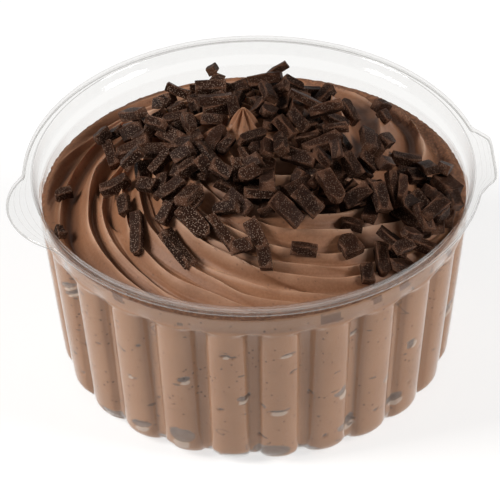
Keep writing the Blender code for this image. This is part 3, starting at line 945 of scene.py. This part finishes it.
# %% Whipped mousse
def mousse_finish():
    """Whipped chocolate: fine pores, dark cocoa specks and slow changes of tone."""
    material, wire, shader = start_material("whipped_chocolate", (0.30, 0.14, 0.075), 0.55)
    place = wire.place()
    tone = wire.clouds(place, 90.0, 4.0)
    grain = wire.clouds(place, 1900.0, 4.0)
    pores = wire.spots(place, 600.0)
    fine_pores = wire.spots(place, 1500.0)
    crumble, pocket, pressed, glint, crest_highlight, deep = [
        wire.read(name)
        for name in ("crumble", "pocket", "pressed", "glint", "crest_highlight", "deep")]
    flat = wire.node("ShaderNodeMapping", {}, {"Vector": place, "Scale": (1.0, 1.0, 2.4)})
    smears = wire.spots(flat, 150.0)
    sizes = wire.clouds(flat, 500.0, 2.0)
    folds = wire.clouds(flat, 55.0, 1.5)
    here = wire.clouds(place, 120.0)

    speck = (1 - pores.between(0.12, 0.19)) * here.between(0.34, 0.54)
    smear = (1 - (smears - (sizes - 0.40) * 0.8).between(0.0, 0.02)) * pressed
    line = 1 - folds.math("ABSOLUTE", folds - 0.5).between(0.002, 0.006)
    scratch = line * here.between(0.55, 0.62) * pressed
    hole = (1 - fine_pores.between(0.16, 0.34)) * (crumble * 0.9 + 0.06)
    slow = tone.between(0.3, 0.7)
    whipped = slow.blend(rgb(0.208, 0.090, 0.043), rgb(0.262, 0.118, 0.059))
    behind_wall = slow.blend(rgb(0.325, 0.176, 0.100), rgb(0.365, 0.202, 0.118))
    colour = pressed.blend(whipped, behind_wall)
    colour = (grain.between(0.40, 0.65) * 0.25).blend(colour, rgb(0.33, 0.160, 0.088))
    # Painted shade: the deepest part of each groove is darkened, as shade falls there. On the side the same
    # mark gives the pressed chocolate pieces their own dark colour.
    colour = (deep.between(0.55, 1.05) * 0.70).blend(colour, rgb(0.095, 0.036, 0.017))
    # Painted highlight along the crest lines, where light catches the ridges.
    colour = (crest_highlight * (tone.between(0.35, 0.65) * 0.50 + 0.25)).blend(colour, rgb(0.50, 0.305, 0.205))
    crumbs = wire.clouds(place, 1300.0, 3.0)
    colour = (crumbs.between(0.40, 0.56) * crumble * 0.75).blend(colour, rgb(0.135, 0.058, 0.031))
    # Painted highlight: a pale crescent under each larger air pocket, where light catches the pocket's lower
    # edge.
    colour = (glint.between(0.0, 0.25) * 0.8).blend(colour, rgb(0.50, 0.40, 0.33))
    # Painted reflection and shade: the air pockets turn grey, standing in for the plastic's inner face
    # mirroring light over the air gap.
    colour = (pocket.between(-0.03, 0.04) * 0.85).blend(colour, rgb(0.215, 0.150, 0.118))
    colour = (smear * 0.75 + scratch * 0.55).blend(colour, rgb(0.14, 0.092, 0.070))
    colour = (speck * (pressed * 0.40 + 0.35) + hole * 0.6).blend(colour, rgb(0.08, 0.036, 0.022))
    plug(colour, shader, "Base Color")
    relief = grain * 0.35 - hole * 0.8 - speck * 0.5 - crumbs * crumble * 2.0
    bump = wire.node("ShaderNodeBump", {}, {"Strength": 0.35, "Distance": 0.0002, "Height": relief})
    plug(bump, shader, "Normal")
    shader.inputs["Specular IOR Level"].default_value = 0.34
    shader.inputs["Subsurface Weight"].default_value = 0.10
    shader.inputs["Subsurface Radius"].default_value = (0.0025, 0.0012, 0.0007)
    shader.inputs["Subsurface Scale"].default_value = 1.0
    return material


mousse = make_mousse(mousse_finish())
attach(mousse, "root")
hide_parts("mousse")
print("mousse_swirl:", len(mousse.data.polygons), "faces")

# %% [markdown]
# ## Chocolate sticks
#
# The topping is short batons of dark chocolate, cut from a flat sheet: about 7 mm long, 3 mm
# wide and 2 mm thick, with cut or half-round ends and a grainy skin. Each one is a closed
# mesh of its own, because the heap is loose and light falls between the pieces.
#
# First comes the shape. A stick is a row of rounded rectangles, drawn in towards its ends.

# %% Shape of one stick
CORNER = 0.14 * MM
END_STEPS = (0.02, 0.12, 0.35, 0.65, 1.0)
STICK_ROWS = 2 * len(END_STEPS) + 3
STICK_SIDES = 12


def rounding(share):
    """How much of the full width a rounded end has lost at a share of its length."""
    return 1 - math.sqrt(max(1 - (1 - min(share, 1.0)) ** 2, 0.0))


def stick_section(half, deep):
    """Twelve points round a rectangle with bevelled corners."""
    a, b, c = half, deep, min(CORNER, half / 2)
    return ((a, -b + c), (a, 0), (a, b - c), (a - c, b), (0, b), (c - a, b), (-a, b - c), (-a, 0),
            (-a, c - b), (c - a, -b), (0, -b), (a - c, -b))


def stick_shape(length, width, thick, draw):
    """Points, faces and worn edges of a stick that lies along X about the origin, in metres."""
    ends = [width / 2 if draw.random() < 0.12 else CORNER for side in range(2)]
    slant, bend = draw.uniform(-0.22, 0.22), draw.uniform(-0.25, 0.25) * MM
    seed = draw.uniform(0, 100)
    stations = [(-length / 2 + ends[0] * step, ends[0] * step, ends[0]) for step in END_STEPS]
    stations += [(share * length, length, CORNER) for share in (-0.12, 0.0, 0.12)]
    stations += [(length / 2 - ends[1] * step, ends[1] * step, ends[1]) for step in reversed(END_STEPS)]
    points, worn = [], []
    for x, from_end, end in stations:
        half = width / 2 - end * rounding(from_end / end)
        deep = thick / 2 - CORNER * rounding(from_end / CORNER)
        for k, (y, z) in enumerate(stick_section(half, deep)):
            share = x / length
            point = Vector((x + slant * y, y, z + bend * (1 - 4 * share * share)))
            point += noise.noise_vector(point * 900 + Vector((seed, 0, 0))) * 0.13 * MM
            point += noise.noise_vector(point * 300 + Vector((0, seed, 0))) * 0.20 * MM
            points.append(point)
            worn.append(0.0 if k % 3 == 1 and from_end > 2 * CORNER else 1.0)
    faces = band_faces(STICK_ROWS, STICK_SIDES)
    faces.append(tuple(reversed(range(STICK_SIDES))))
    faces.append(tuple((STICK_ROWS - 1) * STICK_SIDES + k for k in range(STICK_SIDES)))
    return points, faces, worn


print("a stick has", STICK_ROWS * STICK_SIDES, "points")

# %% [markdown]
# Then comes the laying. A grid keeps the height of whatever lies on top at each place, at
# first the mousse alone. A new stick is set on the plane that fits the heights under it,
# raised over nearly all of them and let in by SINK, and its own top then goes into the grid. So
# each stick lies on what was laid before it, or within half a millimetre of it.

# %% Laying a stick on what is under it
CELL = 0.4 * MM
GRID_HALF = 130
SINK = 0.45 * MM


class Heap:
    """The heights of the topping, and the meshes of the pieces laid so far."""

    def __init__(self, ground):
        tree = BVHTree.FromPolygons([v.co for v in ground.data.vertices],
                                    [tuple(p.vertices) for p in ground.data.polygons])
        size = 2 * GRID_HALF + 1
        self.top = np.full((size, size), WALL_LEVEL)
        for i in range(size):
            for j in range(size):
                start = Vector(((i - GRID_HALF) * CELL, (j - GRID_HALF) * CELL, 2 * RIM))
                found = tree.ray_cast(start, Vector((0, 0, -1)))[0]
                if found is not None:
                    self.top[i, j] = found.z
        self.ground = self.top.copy()
        self.points, self.faces = [], []
        self.marks = {"tone": [], "grain": [], "worn": []}

    def cells(self, x, y):
        i = np.clip(np.rint(np.asarray(x) / CELL).astype(int) + GRID_HALF, 0, 2 * GRID_HALF)
        j = np.clip(np.rint(np.asarray(y) / CELL).astype(int) + GRID_HALF, 0, 2 * GRID_HALF)
        return i, j

    def piled(self, x, y):
        """How high the topping already stands over the mousse at a place."""
        i, j = self.cells(x, y)
        return float(self.top[i, j] - self.ground[i, j])

    def rest_on(self, x, y, heading, length, width, lean):
        """Height and the two slopes of the plane that a stick comes to rest on."""
        u, v = np.meshgrid(np.linspace(-0.45, 0.45, 9) * length, np.linspace(-0.4, 0.4, 4) * width)
        u, v = u.ravel(), v.ravel()
        c, s = math.cos(heading), math.sin(heading)
        i, j = self.cells(x + c * u - s * v, y + s * u + c * v)
        under = self.top[i, j]
        fit = np.linalg.lstsq(np.stack([u, v, np.ones(len(u))], 1), under, rcond=None)[0]
        along = float(np.clip(fit[0], -0.7, 0.7)) + math.tan(lean)
        across = float(np.clip(fit[1], -0.7, 0.7))
        spare = under - along * u - across * v
        return float(np.quantile(spare, 0.93)) - SINK, along, across

    def lay(self, x, y, heading, length, width, thick, draw, lean=0.0, roll=0.0, most=12 * MM):
        height, along, across = self.rest_on(x, y, heading, length * math.cos(lean), width, lean)
        across += roll
        c, s = math.cos(heading), math.sin(heading)
        forward = Vector((c, s, along)).normalized()
        side = Vector((-s, c, across)).normalized()
        upward = forward.cross(side).normalized()
        side = upward.cross(forward)
        middle = Vector((x, y, height + thick / 2 / max(upward.z, 0.4)))
        points, faces, worn = stick_shape(length, width, thick, draw)
        placed = [middle + forward * p.x + side * p.y + upward * p.z for p in points]
        if max(p.z for p in placed) > TIP_TOP - 0.3 * MM:
            return False
        if max(math.hypot(p.x, p.y) - wall_limit(p.z) for p in placed) > 0:
            return False
        u, v = np.meshgrid(np.linspace(-0.5, 0.5, 31) * length * forward.xy.length,
                           np.linspace(-0.5, 0.5, 11) * width * 0.95)
        i, j = self.cells(x + c * u - s * v, y + s * u + c * v)
        surface = height + along * u + across * v + thick / max(upward.z, 0.4)
        if np.max(surface - self.ground[i, j]) > most:
            return False
        np.maximum.at(self.top, (i, j), surface)
        start = len(self.points)
        self.points += placed
        self.faces += [tuple(start + k for k in face) for face in faces]
        self.marks["tone"] += [draw.random()] * len(placed)
        sugared = mix(1.0, 0.40, float(smooth(-14 * MM, 8 * MM, x))) * draw.uniform(0.5, 1.15)
        self.marks["grain"] += [sugared] * len(placed)
        self.marks["worn"] += worn
        return True


def wall_limit(z):
    """How far out a piece may reach at a height without touching the cup."""
    if z < SEAT_HEIGHT:
        return SHOULDER_RADIUS - SHEET - 0.1 * MM
    return mix(SEAT_RADIUS, FLANGE_INNER, min((z - SEAT_HEIGHT) / (RIM - SEAT_HEIGHT), 1.0)) - 0.6 * MM


heap = Heap(mousse)
print("heights from", round(heap.top.min() / MM, 1), "to", round(heap.top.max() / MM, 1), "mm")

# %% [markdown]
# The heap is filled first, with pieces drawn at random inside its uneven outline. Then come the
# listed pieces, which lie singly or catch the eye on top. Each has its place, its heading in
# degrees, its length and its width, in millimetres, and an upright one its lean in degrees.
#
# The lists and the outline in HEAP_REACH follow no rule. A separate program measured many of
# these places, and they were then changed by hand, so they are data and not a design.

# %% Places of the sticks
FRONT_STICKS = (
    (-25.4, -23, -90, 10.2, 2.5), (-16.5, -28.5, -55, 10.3, 3.0), (-17.8, -16.5, 18, 6.6, 2.7),
    (-30, -7.5, -5, 7.0, 2.8), (-28, -14.5, -81, 5.0, 2.5), (-19, -21, 55, 5.0, 2.6),
    (-23, -12, -35, 4.6, 3.0), (-42, -13.6, -68, 3.0, 1.8), (-13, -25, -43, 8.6, 3.9),
    (-7, -27.5, -54, 9.4, 2.2), (0.4, -28, -65, 7.5, 3.3), (-6, -22.5, -22, 6.0, 2.8),
    (1.7, -20.5, -3, 7.5, 2.6), (-14, -20.6, 57, 6.5, 3.0), (-3, -31.6, 24, 4.6, 3.0),
    (2, -34, -82, 5.2, 2.9), (10.5, -30.6, 4, 5.8, 2.5), (20.2, -28, -60, 5.6, 4.8),
    (29.5, -27.5, -28, 7.2, 2.6), (24, -34, -82, 4.6, 2.7), (21, -23, -15, 4.8, 2.5))
LEFT_STICKS = (
    (-31, 12, -20, 5.6, 2.6), (-26, 13, -50, 7.0, 2.8), (-31, 5, -72, 6.6, 2.4), (-26, 2, -8, 8.2, 3.1),
    (-26, -6, 25, 5.4, 2.6), (-21, 3, -36, 4.8, 2.2), (-20, 18, -55, 5.0, 2.0), (-19, 22, -40, 6.0, 2.3),
    (-15, -6, -43, 6.2, 3.1), (-20, -7, 40, 6.4, 2.2), (-15, -10, 8, 5.0, 2.8), (-14, -14, 15, 4.4, 2.8),
    (-11.5, -15, -62, 5.0, 2.3), (-9, 17, -20, 4.6, 2.3), (-33, 9, 60, 4.4, 2.4),
    (-41.5, -1.5, 25, 4.2, 2.4))
BACK_STICKS = (
    (-16, 21.5, -15, 6.0, 2.4), (-10.5, 23, 12, 6.4, 2.6), (-4.5, 23.5, -8, 5.6, 2.4),
    (1, 24, 14, 6.6, 2.6), (7, 23.5, -20, 5.8, 2.4), (12.5, 22.5, 15, 6.2, 2.5), (-8, 21, 70, 5.0, 2.4),
    (4, 21.5, -60, 5.4, 2.5), (-9, 17, 2, 6.8, 2.9), (-3, 18, 5, 5.0, 2.6), (3, 19, 4, 7.4, 2.2),
    (9, 18, 0, 5.0, 2.0), (6, 14, -10, 4.4, 2.2), (16, 20, 50, 5.2, 2.5), (21, 14, -62, 6.4, 2.6),
    (12, 9, -2, 8.8, 3.3), (2, 7.5, -28, 8.4, 2.9), (4, 2, 10, 5.6, 2.9), (7, -1, -35, 5.4, 2.7),
    (10, 1, -48, 5.6, 2.7), (16, 4, 12, 7.6, 2.3), (12, -3, -15, 5.0, 2.5), (18, -1, 5, 5.4, 2.3),
    (15, -6, 35, 8.8, 2.6), (-8, 10, -8, 7.4, 2.7), (28.5, 22, 35, 3.6, 2.1), (29, 17.5, -60, 3.2, 2.6))
CENTRE_STICKS = (
    (10, -11, -28, 7.8, 3.0), (6, -8, -88, 6.5, 2.7), (3, -9, -92, 5.0, 2.5), (3, -18, -91, 7.6, 3.3),
    (-1, -8.5, -50, 6.2, 2.2), (-5, -7, -88, 5.6, 3.3), (-3.5, -14, -80, 5.4, 2.3), (0, -13, 0, 3.6, 3.2),
    (-1, -16.5, 30, 4.8, 3.2), (-9, -11, -52, 9.0, 2.7), (-10.5, -15.5, -45, 4.2, 2.9),
    (-7, -17, -12, 4.6, 2.8), (10, -18, 42, 7.8, 3.4), (13.5, -16.5, 62, 4.6, 2.0),
    (15, -12, -25, 4.4, 3.0), (18, -11, -80, 4.2, 2.3), (16.7, -19.5, -60, 8.0, 3.5),
    (-7.4, -18.5, -12, 7.2, 3.9), (7, -24.5, -28, 8.0, 3.6), (11.5, -23, -33, 7.0, 3.7))
RIGHT_STICKS = (
    (21, -11, -45, 5.6, 3.6), (25, -8, -25, 4.8, 2.8), (28.5, -8, 50, 4.6, 2.6), (30, -13, -85, 8.8, 2.0),
    (32, -13, -93, 8.4, 2.0), (20.5, -16.5, 30, 4.6, 3.3), (22, -19.5, 33, 6.6, 3.1),
    (26, -15, -65, 5.6, 3.1), (27.3, -19, -72, 6.6, 3.6), (40, -17.5, 60, 5.2, 2.6),
    (32, -30.5, 50, 5.0, 2.6), (33, -13.5, 45, 7.2, 3.4), (36.5, -14.5, -55, 7.2, 2.8),
    (38, -11, -60, 4.2, 2.6), (42, -6, -45, 5.4, 4.4), (43, -11.5, -70, 4.4, 3.4),
    (34, -18, -20, 5.0, 3.3), (36.5, -21, -60, 6.4, 2.7), (39, -19.5, 55, 7.4, 2.9),
    (34, -23, 30, 6.0, 2.6), (29, -30, 55, 6.4, 3.2), (33.5, -27, 50, 5.4, 2.8),
    (39.5, -16, -35, 6.4, 2.8), (41, -13.5, 70, 6.0, 2.6), (37, -24, -30, 6.2, 2.8),
    (41.5, -3, 80, 5.6, 2.8), (38, -2, -76, 8.2, 3.0), (33.5, 4, 4, 6.6, 2.8), (29, 4.5, 60, 5.0, 3.2),
    (25, -3, -86, 7.6, 3.1))
UPRIGHT_STICKS = ((5.6, 22.5, 8, 5.8, 1.7, 55), (-8.6, 24.5, 80, 2.6, 2.3, 25), (3.5, 11, -75, 5.4, 2.8, -35),
                  (-4, 5.5, 100, 5.0, 2.5, 25))

HEAP_REACH = ((0, 30), (12, 19), (30, 16), (50, 20), (75, 22), (100, 22), (130, 21), (153, 32),
              (176, 24), (200, 25), (225, 25), (250, 23), (272, 22), (290, 23), (304, 25),
              (316, 27), (326, 34), (338, 43), (346, 43), (360, 33))
FILL_TRIES = 780
HEAP_COVER = 1.3 * MM
RIM_COVER = 1.2 * MM
TIP_CLEAR = 5.6 * MM
RIM_PATCHES = ((-32, -2, 34, 44.5, 72), (-52, -30, 39.5, 44.5, 90), (-24, -8, 22, 34, 30))
STICK_THICK = (1.7, 2.5)
UPRIGHT_THICK = 1.8 * MM
LISTED_LEAN = 5
FILL_LENGTH = (4.2, 8.2)
FILL_WIDTH = (2.2, 3.4)
FILL_LEAN = 19
FILL_ROLL = 0.35
FILL_HEIGHT = 5.6 * MM


def heap_reach(angle):
    degrees = math.degrees(angle) % 360
    for (start, low), (end, high) in zip(HEAP_REACH, HEAP_REACH[1:]):
        if start <= degrees <= end:
            share = (degrees - start) / (end - start)
            return mix(low, high, share * share * (3 - 2 * share)) * MM
    return HEAP_REACH[0][1] * MM


def lay_random(x, y, draw, covered):
    """One piece of random shape and heading, unless the pile is high there already."""
    if math.hypot(x - TIP_PLACE[0], y - TIP_PLACE[1]) < TIP_CLEAR or heap.piled(x, y) > covered:
        return False
    return heap.lay(x, y, draw.uniform(0, math.pi), draw.uniform(*FILL_LENGTH) * MM,
                    draw.uniform(*FILL_WIDTH) * MM, draw.uniform(*STICK_THICK) * MM, draw,
                    math.radians(draw.gauss(0, FILL_LEAN)), draw.gauss(0, FILL_ROLL), FILL_HEIGHT)


def fill_heap(draw):
    """Random pieces inside the outline, away from the tip, and in the patches by the rim."""
    laid = 0
    for attempt in range(FILL_TRIES):
        angle = draw.uniform(0, math.tau)
        out = heap_reach(angle) * math.sqrt(draw.random())
        laid += lay_random(out * math.cos(angle), out * math.sin(angle), draw, HEAP_COVER)
    for start, end, inner, outer, tries in RIM_PATCHES:
        for attempt in range(tries):
            angle = math.radians(draw.uniform(start, end))
            out = draw.uniform(inner, outer) * MM
            laid += lay_random(out * math.cos(angle), out * math.sin(angle), draw, RIM_COVER)
    return laid


def lay_listed(draw):
    laid = 0
    listed = FRONT_STICKS + LEFT_STICKS + BACK_STICKS + RIGHT_STICKS + CENTRE_STICKS
    for x, y, heading, length, width in listed:
        laid += heap.lay(x * MM, y * MM, math.radians(heading), length * MM, width * MM,
                         draw.uniform(*STICK_THICK) * MM, draw, math.radians(draw.gauss(0, LISTED_LEAN)))
    for x, y, heading, length, width, lean in UPRIGHT_STICKS:
        laid += heap.lay(x * MM, y * MM, math.radians(heading), length * MM, width * MM,
                         UPRIGHT_THICK, draw, math.radians(lean))
    return laid


print(fill_heap(random.Random(11)), "sticks fill the heap")
print(lay_listed(random.Random(12)), "listed sticks laid on it")

# %% [markdown]
# Dark chocolate of this kind is matt and grainy: its skin is full of tiny holes and of fine
# pale grains that glint. Pale grains a third of a millimetre apart and a fine bump give
# that, and a slow noise keeps two sticks from having the same brown.

# %% Dark chocolate
def chocolate_finish():
    material, wire, shader = start_material("dark_chocolate", (0.04, 0.017, 0.010), 0.5)
    place = wire.place()
    tone = wire.read("tone")
    grain = wire.read("grain")
    worn = wire.read("worn")
    patches = wire.clouds(place, 300.0, 3.0)
    grains = wire.spots(place, 2900.0)
    rough = wire.clouds(place, 2400.0, 4.0)
    pale = (1 - grains.between(0.20, 0.36)) * patches.between(0.22, 0.50) * grain
    edge = (worn ** 7.0) * patches.between(0.35, 0.65)
    colour = (tone * 0.5 + patches * 0.5).blend(rgb(0.006, 0.0023, 0.0012), rgb(0.034, 0.0136, 0.0075))
    colour = (rough.between(0.50, 0.80) * 0.26).blend(colour, rgb(0.115, 0.050, 0.028))
    colour = (edge * 0.50).blend(colour, rgb(0.17, 0.080, 0.048))
    colour = (pale * 0.78).blend(colour, rgb(0.36, 0.25, 0.19))
    plug(colour, shader, "Base Color")
    bump = wire.node("ShaderNodeBump", {}, {"Strength": 0.6, "Distance": 0.0002, "Height": rough + pale})
    plug(bump, shader, "Normal")
    shader.inputs["Specular IOR Level"].default_value = 0.06
    return material


def make_sticks():
    sticks = add_piece("chocolate_sticks", heap.points, heap.faces, chocolate_finish())
    for name, values in heap.marks.items():
        mark(sticks, name, values)
    sticks.data.set_sharp_from_angle(angle=math.radians(35))
    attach(sticks, "root")
    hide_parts("chocolate_heap")
    return sticks


sticks = make_sticks()
print("chocolate_sticks:", len(sticks.data.polygons), "faces")
